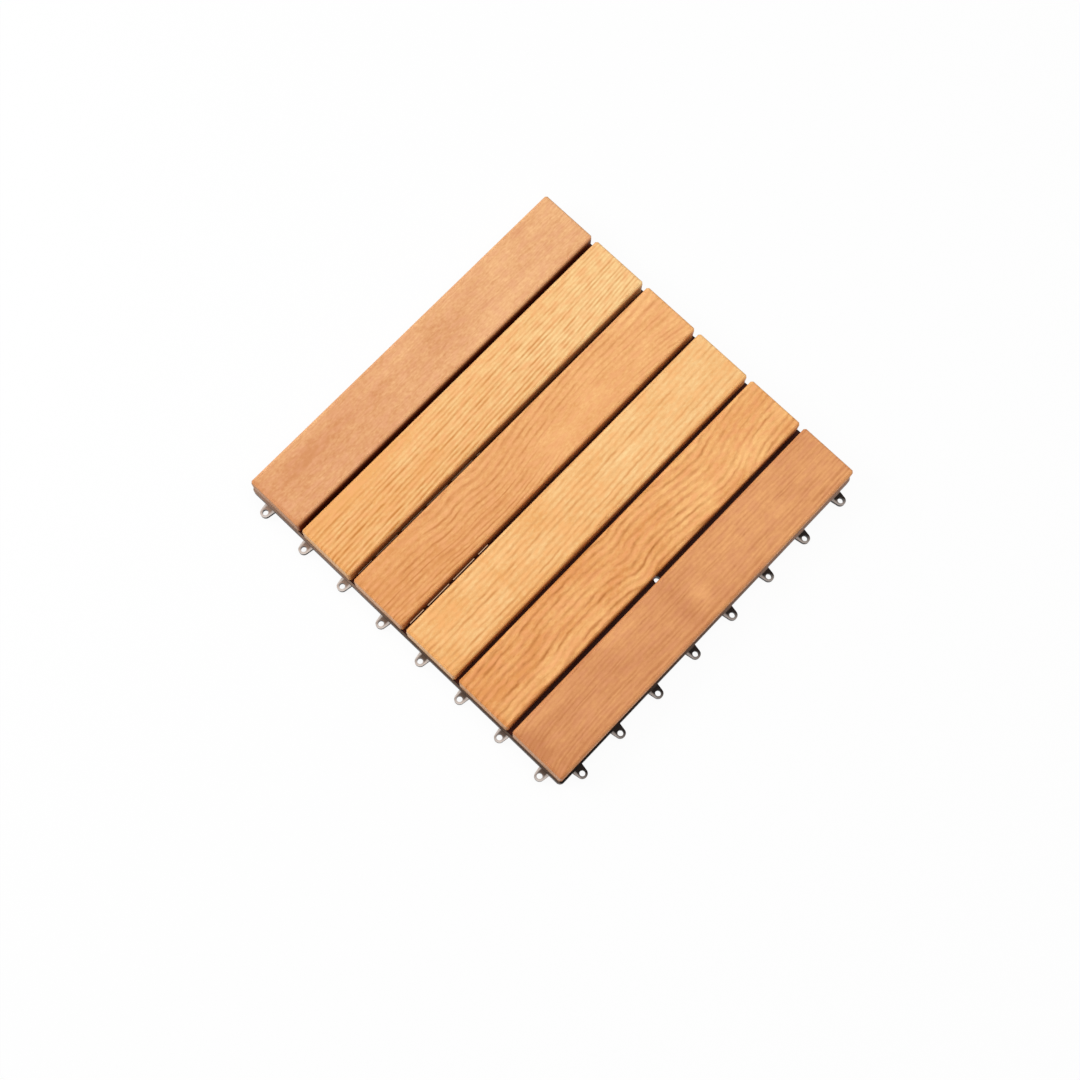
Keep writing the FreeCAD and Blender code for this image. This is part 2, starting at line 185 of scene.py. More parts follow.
timberLook = {
    # a noise has its size across and along the slat, the offset of its seed, and its detail
    "wander": (30.0, 60.0, 1.0, 1.0),
    "ripple": (7.0, 8.0, 2.0, 1.0),
    "jitter": (2.5, 3.0, 9.0, 1.0),
    "fading": (2.6, 13.0, 3.0, 3.0),
    "fibre": (0.6, 14.0, 4.0, 2.0),
    "pores": (0.8, 3.4, 5.0, 1.0),
    "mottle": (12.0, 30.0, 6.0, 2.0),
    "speckle": (1.5, 2.6, 7.0, 2.0),
    "blush": (4.0, 9.0, 8.0, 2.0),
    # a band is where something starts and where it is full
    "fadingBand": (-0.16, 0.18),
    "poreBand": (0.06, 0.22),
    "blushBand": (-0.12, 0.2),
    "faceBand": (-0.9, -0.1),       # up to an end or a long side of the slat
    "lowBand": (10.0, 0.0),         # height over the middle of the slat
    # a share is its least value and what is added to it
    "yearShare": (0.6, 0.5),        # how strong each year's line is
    "fadingShare": (0.35, 0.8),     # how strong a line stays along its run
    "poreShare": (0.25, 0.75),      # pores are open mostly in the lines
    "lean": 0.45,                   # how far the lines run aside for each millimetre upwards
    "crowdSpan": 46.0,              # the crowding of the lines builds up over this width
    "spacingRate": 0.55,            # how quickly their spacing changes from line to line
    "poreTint": (0.6, 0.5, 0.42, 1.0),
    "endCover": 0.8,                # how far the sawn ends take a colour of their own
    "endRings": 0.55,
    "roughness": 0.5,
    "lineRoughness": 0.1,
    "fibreRoughness": 0.15,
    "fibreHeight": 0.5,
}


def makeTimberGroup():
    # Position is in millimetres from the middle of a slat: X across, Y along, Z up
    look = timberLook
    group, given, result = newGroup(
        "timberGrain",
        [
            ("Position", "Vector"),
            ("Seed", "Float"),
            ("Shift", "Float"),
            ("Line Pitch", "Float"),
            ("Crowding", "Float"),
            ("Pitch Variation", "Float"),
            ("Wander", "Float"),
            ("Ripple", "Float"),
            ("Jitter", "Float"),
            ("Line Strength", "Float"),
            ("Line Width", "Float"),
            ("Calm", "Float"),
            ("Tone", "Float"),
            ("Fibre Strength", "Float"),
            ("Pore Strength", "Float"),
            ("Speckle Strength", "Float"),
            ("Mottle Strength", "Float"),
            ("Blush Strength", "Float"),
            ("Pale Colour", "Color"),
            ("Deep Colour", "Color"),
            ("Line Colour", "Color"),
            ("Blush Colour", "Color"),
            ("Half Length", "Float"),
            ("Half Width", "Float"),
            ("End Colour", "Color"),
            ("Side Shade", "Float"),
            ("Outer Side", "Float"),
            ("Side Shade Colour", "Color"),
        ],
        [("Colour", "Color"), ("Roughness", "Float"), ("Height", "Float")],
    )
    across, along, up = separate(group, given["Position"])

    def field(name, sideways=across):
        # a noise between -0.5 and 0.5, stretched along the slat
        acrossSize, alongSize, offset, detail = look[name]
        place = combine(
            group,
            maths(group, "DIVIDE", sideways, acrossSize),
            maths(group, "DIVIDE", along, alongSize),
            maths(group, "DIVIDE", up, acrossSize),
        )
        seed = maths(group, "ADD", given["Seed"], offset)
        return maths(group, "SUBTRACT", noise(group, place, seed, detail), 0.5)

    def shareOf(value, name):
        # from the least share where the value is 0
        least, added = look[name]
        return maths(group, "MULTIPLY_ADD", value, added, least)

    # the growth lines follow the drawn shift, with a slow wander, a ripple and a quick jitter
    place = maths(group, "SUBTRACT", across, given["Shift"])
    place = maths(group, "MULTIPLY_ADD", up, look["lean"], place)
    place = maths(group, "MULTIPLY_ADD", field("wander"), given["Wander"], place)
    place = maths(group, "MULTIPLY_ADD", field("ripple"), given["Ripple"], place)
    place = maths(group, "MULTIPLY_ADD", field("jitter"), given["Jitter"], place)

    # they crowd towards +X where that is asked for, and are unevenly spaced
    squared = maths(group, "MULTIPLY", maths(group, "MULTIPLY", place, place), 1 / look["crowdSpan"])
    count = maths(group, "MULTIPLY_ADD", squared, given["Crowding"], place)
    count = maths(group, "DIVIDE", count, given["Line Pitch"])
    rate = maths(group, "MULTIPLY", count, look["spacingRate"])
    spacing = noise(group, combine(group, rate, 0.0, 0.0), given["Seed"])
    spacing = maths(group, "SUBTRACT", spacing, 0.5)
    count = maths(group, "MULTIPLY_ADD", spacing, given["Pitch Variation"], count)

    # each year's line has its own strength, and fades in and out
    season = maths(group, "PINGPONG", count, 0.5)
    inLine = maths(group, "ADD", maths(group, "SUBTRACT", season, 0.5), given["Line Width"])
    lateWood = smooth(group, maths(group, "DIVIDE", inLine, given["Line Width"]), 0.0, 1.0)
    year = newNode(group, "ShaderNodeTexWhiteNoise", noise_dimensions="1D")
    plug(group, year.inputs["W"], maths(group, "ADD", maths(group, "FLOOR", count), given["Seed"]))
    lineMask = maths(group, "MULTIPLY", lateWood, shareOf(year.outputs["Value"], "yearShare"))
    fading = smooth(group, field("fading", place), *look["fadingBand"])
    lineMask = maths(group, "MULTIPLY", lineMask, shareOf(fading, "fadingShare"))
    calmness = maths(group, "SUBTRACT", 1.0, given["Calm"], clamp=True)
    lineMask = maths(group, "MULTIPLY", lineMask, calmness, clamp=True)

    # fibres and open pores follow the lines
    fibre = field("fibre", place)
    pores = smooth(group, field("pores", place), *look["poreBand"])
    pores = maths(group, "MULTIPLY", pores, shareOf(lineMask, "poreShare"))

    # the drawn tone, broad mottling and fine speckle
    tone = maths(group, "ADD", given["Tone"], 0.5)
    tone = maths(group, "MULTIPLY_ADD", field("mottle"), given["Mottle Strength"], tone)
    tone = maths(group, "MULTIPLY_ADD", field("speckle"), given["Speckle Strength"], tone)
    tone = maths(group, "MULTIPLY_ADD", fibre, given["Fibre Strength"], tone, clamp=True)
    colour = mixColour(group, tone, given["Pale Colour"], given["Deep Colour"])
    blush = smooth(group, field("blush"), *look["blushBand"])
    blush = maths(group, "MULTIPLY", blush, given["Blush Strength"], clamp=True)
    colour = mixColour(group, blush, colour, given["Blush Colour"])
    lines = maths(group, "MULTIPLY", lineMask, given["Line Strength"], clamp=True)
    colour = mixColour(group, lines, colour, given["Line Colour"])
    poreMask = maths(group, "MULTIPLY", pores, given["Pore Strength"], clamp=True)
    poreColour = mixColour(group, 1.0, given["Line Colour"], look["poreTint"], "MULTIPLY")
    colour = mixColour(group, poreMask, colour, poreColour)

    # the sawn ends have a colour of their own, and keep the rings
    toEnd = maths(group, "SUBTRACT", maths(group, "ABSOLUTE", along), given["Half Length"])
    endMask = maths(group, "MULTIPLY", smooth(group, toEnd, *look["faceBand"]), look["endCover"])
    ringMask = maths(group, "MULTIPLY", lines, look["endRings"])
    endGrain = mixColour(group, ringMask, given["End Colour"], given["Line Colour"])
    colour = mixColour(group, endMask, colour, endGrain)

    # painted shade: the long sides that face a gap are darker, and more so downwards, as shade deep in the
    # gaps
    toSide = maths(group, "SUBTRACT", maths(group, "ABSOLUTE", across), given["Half Width"])
    onSide = smooth(group, toSide, *look["faceBand"])
    low = maths(group, "MULTIPLY", onSide, smooth(group, up, *look["lowBand"]))
    outward = maths(group, "MULTIPLY", across, given["Outer Side"], clamp=True)
    low = maths(group, "MULTIPLY", low, maths(group, "SUBTRACT", 1.0, outward))
    low = maths(group, "MULTIPLY", low, given["Side Shade"], clamp=True)
    plug(group, result["Colour"], mixColour(group, low, colour, given["Side Shade Colour"]))

    rough = maths(group, "MULTIPLY_ADD", lineMask, look["lineRoughness"], look["roughness"])
    rough = maths(group, "MULTIPLY_ADD", fibre, look["fibreRoughness"], rough)
    plug(group, result["Roughness"], rough)
    height = maths(group, "MULTIPLY", fibre, look["fibreHeight"])
    plug(group, result["Height"], maths(group, "SUBTRACT", height, pores))
    return group


def makeSpotGroup():
    # a soft oval spot, 1 in its middle
    group, given, result = newGroup(
        "softSpot",
        [
            ("Across", "Float"),
            ("Along", "Float"),
            ("Spot Across", "Float"),
            ("Spot Along", "Float"),
            ("Half Width", "Float"),
            ("Half Length", "Float"),
        ],
        [("Value", "Float")],
    )
    total = 0.0
    for place, middle, half in (
        (given["Across"], given["Spot Across"], given["Half Width"]),
        (given["Along"], given["Spot Along"], given["Half Length"]),
    ):
        away = maths(group, "DIVIDE", maths(group, "SUBTRACT", place, middle), half)
        total = maths(group, "MULTIPLY_ADD", away, away, total)
    plug(group, result["Value"], maths(group, "EXPONENT", maths(group, "MULTIPLY", total, -1.0)))
    return group


slatForm = {
    "pathHalf": 150.0,                     # the drawn paths run from minus to plus this
    "pathReach": 30.0,                     # and can run this far to either side
    "nearSpot": (0, -190, 400, 190),       # the three spots that every slat has
    "farSpot": (0, 190, 400, 190),
    "nearArrisSpot": (0, -147.2, 400, 1.8),
    # painted shade deep in the gaps, on the slats' long sides
    "sideShadeColour": rgb(116, 46, 18),
    "bumpStrength": 0.15,
    "bumpDistance": 0.0001,
    "specular": 0.15,
}

# One entry for each slat, from -X to +X. The paths say how far the growth lines run aside
# at places along the slat, near its -X edge (left) and its +X edge (right). A spot is its
# middle across and along, its half width and half length, and what it adds to the tone and
# to the calm of the lines. Near is the -Y half of the slat, and far the +Y half.
slatFinish = {
    "slat_1": {
        "grain": {
            "Seed": 1.3, "Line Pitch": 2.3, "Pitch Variation": 1.6, "Wander": 6.0, "Ripple": 3.0,
            "Jitter": 0.3, "Line Width": 0.48, "Line Strength": 0.3,
            "Fibre Strength": 0.2, "Pore Strength": 0.15, "Speckle Strength": 1.1,
            "Mottle Strength": 0.9, "Blush Strength": 0.4, "Side Shade": 1.0, "Outer Side": -1.0,
            "Pale Colour": rgb(251, 198, 142), "Deep Colour": rgb(211, 144, 94),
            "Line Colour": rgb(205, 138, 88), "Blush Colour": rgb(233, 167, 128),
            "End Colour": rgb(177, 138, 110),
        },
        "leftPath": [(-150, 0), (150, 2)],
        "rightPath": [(-150, 0), (150, 1)],
        "nearTone": 0.3, "farTone": -0.12, "farCalm": 0.0, "arrisTone": 0.9,
        "spots": [
            (-6, -95, 7, 50, 0.25, 0), (4, 25, 14, 22, 0.15, 0), (14, 80, 9, 60, -0.1, 0.4),
            (-24, 0, 5, 400, -0.15, 0),
        ],
    },
    "slat_2": {
        "grain": {
            "Seed": 2.9, "Line Pitch": 3.1, "Pitch Variation": 1.1, "Wander": 1.5, "Ripple": 0.8,
            "Jitter": 0.3, "Line Width": 0.45, "Line Strength": 1.0,
            "Fibre Strength": 0.3, "Pore Strength": 0.2, "Speckle Strength": 0.9,
            "Mottle Strength": 0.8, "Blush Strength": 0.6, "Side Shade": 0.4,
            "Pale Colour": rgb(255, 218, 155), "Deep Colour": rgb(238, 174, 105),
            "Line Colour": rgb(204, 132, 63), "Blush Colour": rgb(246, 176, 116),
            "End Colour": rgb(226, 185, 142),
        },
        "leftPath": [(-150, 3), (150, -3)],
        "rightPath": [(-150, 7), (0, 0), (70, -4), (150, -12)],
        "nearTone": 0.35, "farTone": -0.2, "farCalm": 0.5, "arrisTone": 0.7,
        "spots": [
            (-19, -95, 8, 60, 0.3, 0.75), (-20, 30, 4, 60, 0.1, 0.5),
            (8, -55, 7, 24, 0.3, 0.3), (10, 110, 14, 60, -0.2, 0),
        ],
    },
    "slat_3": {
        "grain": {
            "Seed": 4.1, "Line Pitch": 4.2, "Crowding": 0.55, "Pitch Variation": 1.3,
            "Wander": 1.0, "Ripple": 1.2, "Jitter": 0.4, "Line Width": 0.36, "Line Strength": 0.82,
            "Fibre Strength": 0.3, "Pore Strength": 0.25, "Speckle Strength": 1.1,
            "Mottle Strength": 0.9, "Blush Strength": 0.6, "Side Shade": 0.25,
            "Pale Colour": rgb(255, 198, 132), "Deep Colour": rgb(224, 154, 91),
            "Line Colour": rgb(198, 125, 65), "Blush Colour": rgb(240, 169, 114),
            "End Colour": rgb(216, 174, 140),
        },
        "leftPath": [
            (-150, 0), (-120, -1.5), (-95, -0.5), (-75, 3), (-58, 0.5), (-33, 4), (0, -1), (25, -5),
            (50, -8), (75, -10), (100, -10.5), (150, -14),
        ],
        "rightPath": [
            (-150, 0), (-100, 1.5), (-50, 3), (-25, 2), (0, -1), (25, -4), (50, -6), (75, -7),
            (100, -6), (150, 1),
        ],
        "nearTone": 0.4, "farTone": -0.15, "farCalm": 0.45, "arrisTone": 0.8,
        "spots": [
            (10, 42, 13, 50, 0.05, 0.95), (-15, -115, 8, 30, 0.05, 0.7),
            (14, -80, 8, 50, 0.1, 0), (8, -70, 14, 50, 0.05, -0.4),
        ],
    },
    "slat_4": {
        "grain": {
            "Seed": 5.7, "Line Pitch": 4.4, "Pitch Variation": 0.6, "Wander": 1.5, "Ripple": 1.5,
            "Jitter": 0.7, "Line Width": 0.4, "Line Strength": 0.98,
            "Fibre Strength": 0.35, "Pore Strength": 0.2, "Speckle Strength": 1.1,
            "Mottle Strength": 1.3, "Blush Strength": 0.5, "Side Shade": 0.1,
            "Pale Colour": rgb(255, 214, 151), "Deep Colour": rgb(238, 174, 104),
            "Line Colour": rgb(214, 147, 83), "Blush Colour": rgb(252, 182, 115),
            "End Colour": rgb(230, 191, 151),
        },
        "leftPath": [(-150, 0), (-80, 0), (0, -2.5), (150, -8)],
        "rightPath": [(-150, 0), (-80, -0.5), (0, -4), (150, -10)],
        "nearTone": 0.2, "farTone": -0.1, "farCalm": 0.55, "arrisTone": 0.8,
        "spots": [
            (0, -76, 60, 2, 0.25, 0), (22, -80, 4, 90, 0.5, 0), (22, 120, 3, 40, 0.4, 0),
            (-8, -125, 8, 20, 0.1, 0.5),
        ],
    },
    "slat_5": {
        "grain": {
            "Seed": 7.2, "Line Pitch": 4.9, "Pitch Variation": 0.7, "Wander": 0.8, "Ripple": 2.2,
            "Jitter": 0.8, "Line Width": 0.4, "Line Strength": 0.9,
            "Fibre Strength": 0.35, "Pore Strength": 0.3, "Speckle Strength": 1.1,
            "Mottle Strength": 1.7, "Blush Strength": 0.5, "Side Shade": 0.1,
            "Pale Colour": rgb(255, 198, 128), "Deep Colour": rgb(228, 154, 86),
            "Line Colour": rgb(186, 114, 52), "Blush Colour": rgb(244, 165, 111),
            "End Colour": rgb(219, 175, 136),
        },
        "leftPath": [
            (-150, 0), (-120, -2.7), (-102, -3.3), (-92, -5.5), (-80, -6), (-25, -6.2), (-9, -5),
            (5, -7), (20, -7), (45, -4.5), (70, -1.6), (81, -1.6), (92, -4.4), (110, -6.6), (150, -9.8),
        ],
        "rightPath": [
            (-150, 0), (-120, -1.5), (-92, -0.5), (-82, -3.5), (-70, -5), (-50, -5.5), (-30, -4.7),
            (-17, -2), (-8, 0.8), (2, -1.5), (11, -3.6), (50, -1.3), (87, 1.8), (97, -1.2),
            (107, -5.3), (122, -9), (150, -11),
        ],
        "nearTone": 0.35, "farTone": -0.12, "farCalm": 0.4, "arrisTone": 0.8,
        "spots": [
            (-4, -25, 16, 18, 0.1, 0.2), (14, -100, 4, 50, -0.4, 0.5), (10, 85, 8, 50, -0.3, 0.2),
        ],
    },
    "slat_6": {
        "grain": {
            "Seed": 9.4, "Line Pitch": 2.9, "Pitch Variation": 1.4, "Wander": 3.0, "Ripple": 1.2,
            "Jitter": 0.4, "Line Width": 0.45, "Line Strength": 0.46,
            "Fibre Strength": 0.35, "Pore Strength": 0.2, "Speckle Strength": 0.8,
            "Mottle Strength": 1.0, "Blush Strength": 0.4, "Side Shade": 0.3, "Outer Side": 1.0,
            "Pale Colour": rgb(242, 175, 113), "Deep Colour": rgb(205, 134, 83),
            "Line Colour": rgb(185, 112, 63), "Blush Colour": rgb(219, 144, 103),
            "End Colour": rgb(206, 164, 132),
        },
        "leftPath": [(-150, 3), (-125, 0), (150, -1)],
        "rightPath": [(-150, 6), (-120, 0), (0, 0), (150, -3)],
        "nearTone": 0.25, "farTone": -0.12, "farCalm": 0.0, "arrisTone": 0.5,
        "spots": [
            (3, -5, 20, 7, 0.3, 0), (5, 10, 8, 6, -0.3, 0.7), (-19, -122, 5, 24, -0.5, 0.3),
            (-18, -52, 6, 14, -0.5, 0.4), (-4, -145, 12, 7, 0.5, 0), (0, 60, 20, 60, -0.15, 0.2),
        ],
    },
}


def drawnPath(tree, along, points):
    # how far aside the growth lines run, by the place along the slat
    reach = slatForm["pathReach"]
    length = slatForm["pathHalf"]
    node = newNode(tree, "ShaderNodeFloatCurve")
    curve = node.mapping.curves[0]
    while len(curve.points) < len(points):
        curve.points.new(0.5, 0.5)
    for point, (place, aside) in zip(curve.points, points):
        point.location = (0.5 + place / length / 2, 0.5 + aside / reach / 2)
        point.handle_type = "AUTO"
    node.mapping.update()
    plug(tree, node.inputs["Value"], maths(tree, "MULTIPLY_ADD", along, 0.5 / length, 0.5))
    return maths(tree, "MULTIPLY_ADD", node.outputs["Value"], 2 * reach, -reach)


def drawnShift(tree, across, along, finish, halfWidth):
    # between the two drawn paths the shift changes evenly
    shift = newNode(tree, "ShaderNodeMix", data_type="FLOAT")
    share = maths(tree, "MULTIPLY_ADD", across, 0.5 / halfWidth, 0.5, clamp=True)
    plug(tree, shift.inputs["Factor"], share)
    plug(tree, shift.inputs["A"], drawnPath(tree, along, finish["leftPath"]))
    plug(tree, shift.inputs["B"], drawnPath(tree, along, finish["rightPath"]))
    return shift.outputs["Result"]


def drawnSpots(tree, across, along, finish, spotGroup):
    # the tone and the calm that all spots of a slat add up to
    spots = [(*slatForm["nearSpot"], finish["nearTone"], 0.0)]
    spots.append((*slatForm["farSpot"], finish["farTone"], finish["farCalm"]))
    spots += finish["spots"]
    spots.append((*slatForm["nearArrisSpot"], finish["arrisTone"], 0.0))
    tone = 0.0
    calm = 0.0
    for spotAcross, spotAlong, halfWidth, halfLength, addedTone, addedCalm in spots:
        spot = placeGroup(tree, spotGroup, {
            "Across": across,
            "Along": along,
            "Spot Across": spotAcross,
            "Spot Along": spotAlong,
            "Half Width": halfWidth,
            "Half Length": halfLength,
        })
        tone = maths(tree, "MULTIPLY_ADD", spot["Value"], addedTone, tone)
        calm = maths(tree, "MULTIPLY_ADD", spot["Value"], addedCalm, calm)
    return tone, calm


def makeSlatMaterial(node, timberGroup, spotGroup):
    finish = slatFinish[node]
    material, tree, shader = newMaterial(node + "_timber")
    low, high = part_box(node)
    halfWidth, halfLength, _ = [(b - a) / 2 * toMillimetres for a, b in zip(low, high)]
    place = millimetrePlace(tree, [(a + b) / 2 for a, b in zip(low, high)])
    across, along, _ = separate(tree, place)
    tone, calm = drawnSpots(tree, across, along, finish, spotGroup)
    timber = placeGroup(tree, timberGroup, {
        "Position": place,
        "Shift": drawnShift(tree, across, along, finish, halfWidth),
        "Tone": tone,
        "Calm": calm,
        "Half Length": halfLength,
        "Half Width": halfWidth,
        "Side Shade Colour": slatForm["sideShadeColour"],
        **finish["grain"],
    })
    bump = fineBump(tree, timber["Height"], slatForm["bumpStrength"], slatForm["bumpDistance"])
    plug(tree, shader["Base Color"], timber["Colour"])
    plug(tree, shader["Roughness"], timber["Roughness"])
    plug(tree, shader["Normal"], bump)
    shader["Specular IOR Level"].default_value = slatForm["specular"]
    return material


timberGrain = makeTimberGroup()
softSpot = makeSpotGroup()
for slatNode in slatFinish:
    dress(slatNode, makeSlatMaterial(slatNode, timberGrain, softSpot))
print("slats finished:", len(slatFinish))


# Moulded grid

gridFinish = {
    "colour": rgb(28, 18, 12),
    "paleColour": rgb(46, 34, 27),
    "rimSheenColour": rgb(168, 142, 126),      # painted sheen: the rim is drawn pale where light reflects off it
    "loopSheenColour": rgb(214, 206, 200),     # painted sheen: the loops drawn pale where light reflects off their rounded faces
    "gapBounceColour": rgb(66, 20, 4),        # painted reflection: warm light bounced off the timber onto the strips under the gaps
    "grainSize": 0.35,
    "grain": (2.0, 2.0, 0.6),             # seed, detail and roughness of a noise
    "flowSize": 14.0,
    "flow": (6.0, 3.0, 0.55),
    "flowBand": (0.45, 0.8),
    "roughness": 0.3,
    "flowRoughness": 0.16,
    "grainRoughness": 0.12,
    "bumpStrength": 0.2,
    "bumpDistance": 0.00005,
    "specular": 0.07,
    "loopRadius": 3.7,
    "loopPitch": 37.75,
    "frontRowShift": 2.4,
    "rightRowShift": -0.7,
    "edgeRound": 0.00025,
    "edgeSteps": 2,
    "edgeAngle": 35,                      # degrees
    "flatAngle": 1.0,
    # where the plastic carries painted sheen: a band is where it starts and where it is full, in
    # millimetres
    "upwardBand": (0.2, 0.7),             # how far a face looks up
    "leastHeight": 3.0,
    "frontRim": 0.3,
    "frontRimMore": ((0.0, -45.0, 0.4), (-112.0, -150.0, 0.35)),      # bands along X, and what each adds
    "rightRimBand": (-110.0, 130.0),
    "rightRimEdge": (150.2, 149.6),
    "frontLoop": (0.56, 0.09),            # in a loop's middle, and added for each millimetre outwards
    "frontLoopBand": (-3.2, -0.4),
    "rightLoop": (0.06, 0.065),
    "rightLoopFar": (0.16, 0.025),        # added to both at the far end of the right row
    "rightFarBand": (-60.0, 60.0),
    "rightLoopBand": (-3.6, -1.5),
    "shoulderBand": (2.0, 3.4),
    "rightShoulder": 0.7,
    "pastRim": (-4.7, -4.3),
    "gapBounceInset": 0.5,
}


def makeMouldedGroup():
    # fine spark-eroded grain and slow flow marks of an injection moulding
    group, given, result = newGroup(
        "mouldedSkin",
        [
            ("Position", "Vector"),
            ("Grain Size", "Float"),
            ("Flow Size", "Float"),
            ("Colour", "Color"),
            ("Pale Colour", "Color"),
        ],
        [("Colour", "Color"), ("Roughness", "Float"), ("Height", "Float")],
    )

    def marks(size, name):
        place = scaled(group, given["Position"], maths(group, "DIVIDE", 1.0, size))
        return noise(group, place, *gridFinish[name])

    grain = marks(given["Grain Size"], "grain")
    flow = smooth(group, marks(given["Flow Size"], "flow"), *gridFinish["flowBand"])
    plug(group, result["Colour"], mixColour(group, flow, given["Colour"], given["Pale Colour"]))
    rough = maths(group, "MULTIPLY_ADD", flow, gridFinish["flowRoughness"], gridFinish["roughness"])
    rough = maths(group, "MULTIPLY_ADD", grain, gridFinish["grainRoughness"], rough)
    plug(group, result["Roughness"], rough)
    plug(group, result["Height"], grain)
    return group


def makePaintedLightGroup():
    # Where the plastic carries painted light. A painted sheen pales the rim and the loops away
    # from the corner at +X and -Y, and is strongest on the side of a loop that faces this corner's
    # direction and on the shoulders of its neck. Painted warm bounce light tints the strips under the gaps.
    group, given, result = newGroup(
        "paintedLightPlastic",
        [
            ("Position", "Vector"),
            ("Facing", "Vector"),
            ("Half Timber", "Float"),
            ("Loop Reach", "Float"),
            ("Loop Pitch", "Float"),
            ("Front Row Shift", "Float"),
            ("Right Row Shift", "Float"),
        ],
        [("Rim Sheen", "Float"), ("Loop Sheen", "Float"), ("Gap Bounce", "Float")],
    )
    x, y, z = separate(group, given["Position"])
    upward = smooth(group, separate(group, given["Facing"])[2], *gridFinish["upwardBand"])
    upward = maths(group, "MULTIPLY", upward, maths(group, "GREATER_THAN", z, gridFinish["leastHeight"]))
    front = maths(group, "LESS_THAN", y, maths(group, "MULTIPLY", given["Half Timber"], -1.0))
    right = maths(group, "GREATER_THAN", x, given["Half Timber"])
    right = maths(group, "MULTIPLY", right, maths(group, "SUBTRACT", 1.0, front))

    # the painted sheen on the rim
    frontRim = gridFinish["frontRim"]
    for start, full, more in gridFinish["frontRimMore"]:
        frontRim = maths(group, "MULTIPLY_ADD", smooth(group, x, start, full), more, frontRim)
    rightRim = smooth(group, y, *gridFinish["rightRimBand"])
    rightRim = maths(group, "MULTIPLY", rightRim, smooth(group, x, *gridFinish["rightRimEdge"]))
    rim = maths(group, "MULTIPLY", front, frontRim)
    rim = maths(group, "MULTIPLY_ADD", right, rightRim, rim)
    plug(group, result["Rim Sheen"], maths(group, "MULTIPLY", rim, upward, clamp=True))

    # the painted sheen on the loops, each from its own middle: side runs along the row, and out is away
    # from the tile
    def fromLoop(alongRow, rowShift, away):
        turned = maths(group, "SUBTRACT", alongRow, rowShift)
        turned = maths(group, "DIVIDE", turned, given["Loop Pitch"])
        turned = maths(group, "SUBTRACT", maths(group, "FRACT", turned), 0.5)
        side = maths(group, "MULTIPLY", turned, given["Loop Pitch"])
        out = maths(group, "SUBTRACT", away, given["Loop Reach"])
        return side, out

    def withShoulder(loop, shoulder, out):
        shoulder = maths(group, "MULTIPLY", shoulder, smooth(group, out, *gridFinish["pastRim"]))
        return maths(group, "MAXIMUM", loop, shoulder)

    side, out = fromLoop(x, given["Front Row Shift"], maths(group, "MULTIPLY", y, -1.0))
    middle, slope = gridFinish["frontLoop"]
    frontLoop = maths(group, "MULTIPLY_ADD", maths(group, "ADD", side, out), slope, middle)
    frontLoop = maths(group, "MULTIPLY", frontLoop, smooth(group, out, *gridFinish["frontLoopBand"]))
    shoulder = smooth(group, maths(group, "ABSOLUTE", side), *gridFinish["shoulderBand"])
    frontLoop = withShoulder(frontLoop, shoulder, out)

    side, out = fromLoop(y, given["Right Row Shift"], x)
    far = smooth(group, y, *gridFinish["rightFarBand"])
    middle, slope = [
        maths(group, "MULTIPLY_ADD", far, more, least)
        for least, more in zip(gridFinish["rightLoop"], gridFinish["rightLoopFar"])
    ]
    rightLoop = maths(group, "MULTIPLY", maths(group, "SUBTRACT", out, side), slope)
    rightLoop = maths(group, "ADD", rightLoop, middle)
    rightLoop = maths(group, "MULTIPLY", rightLoop, smooth(group, out, *gridFinish["rightLoopBand"]))
    toFront = maths(group, "MULTIPLY", side, -1.0)
    shoulder = smooth(group, toFront, *gridFinish["shoulderBand"])
    shoulder = maths(group, "MULTIPLY", shoulder, gridFinish["rightShoulder"])
    rightLoop = withShoulder(rightLoop, shoulder, out)

    loops = maths(group, "MULTIPLY", front, frontLoop, clamp=True)
    loops = maths(group, "MAXIMUM", loops, maths(group, "MULTIPLY", right, rightLoop, clamp=True))
    plug(group, result["Loop Sheen"], maths(group, "MULTIPLY", loops, upward, clamp=True))

    # painted reflection: the strips under the gaps are tinted warm by light bounced off the timber sides
    reach = maths(group, "MAXIMUM", maths(group, "ABSOLUTE", x), maths(group, "ABSOLUTE", y))
    edge = maths(group, "SUBTRACT", given["Half Timber"], gridFinish["gapBounceInset"])
    inside = maths(group, "LESS_THAN", reach, edge)
    plug(group, result["Gap Bounce"], maths(group, "MULTIPLY", inside, upward))
    return group


def makeGridMaterial():
    finish = gridFinish
    material, tree, shader = newMaterial("black_moulding")
    place = millimetrePlace(tree)
    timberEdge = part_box("slat_6")[1][0] * toMillimetres
    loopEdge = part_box("base_grid")[1][0] * toMillimetres
    skin = placeGroup(tree, makeMouldedGroup(), {
        "Position": place,
        "Grain Size": finish["grainSize"],
        "Flow Size": finish["flowSize"],
        "Colour": finish["colour"],
        "Pale Colour": finish["paleColour"],
    })
    paintedLight = placeGroup(tree, makePaintedLightGroup(), {
        "Position": place,
        "Facing": newNode(tree, "ShaderNodeTexCoord").outputs["Normal"],
        "Half Timber": timberEdge,
        "Loop Reach": loopEdge - finish["loopRadius"],
        "Loop Pitch": finish["loopPitch"],
        "Front Row Shift": finish["frontRowShift"],
        "Right Row Shift": finish["rightRowShift"],
    })
    # painted light: the warm bounce on the strips under the gaps, then the painted sheen on the rim and the
    # loops
    colour = mixColour(tree, paintedLight["Gap Bounce"], skin["Colour"], finish["gapBounceColour"])
    colour = mixColour(tree, paintedLight["Rim Sheen"], colour, finish["rimSheenColour"])
    colour = mixColour(tree, paintedLight["Loop Sheen"], colour, finish["loopSheenColour"])
    plug(tree, shader["Base Color"], colour)
    plug(tree, shader["Roughness"], skin["Roughness"])
    bump = fineBump(tree, skin["Height"], finish["bumpStrength"], finish["bumpDistance"])
    plug(tree, shader["Normal"], bump)
    shader["Specular IOR Level"].default_value = finish["specular"]
    return material


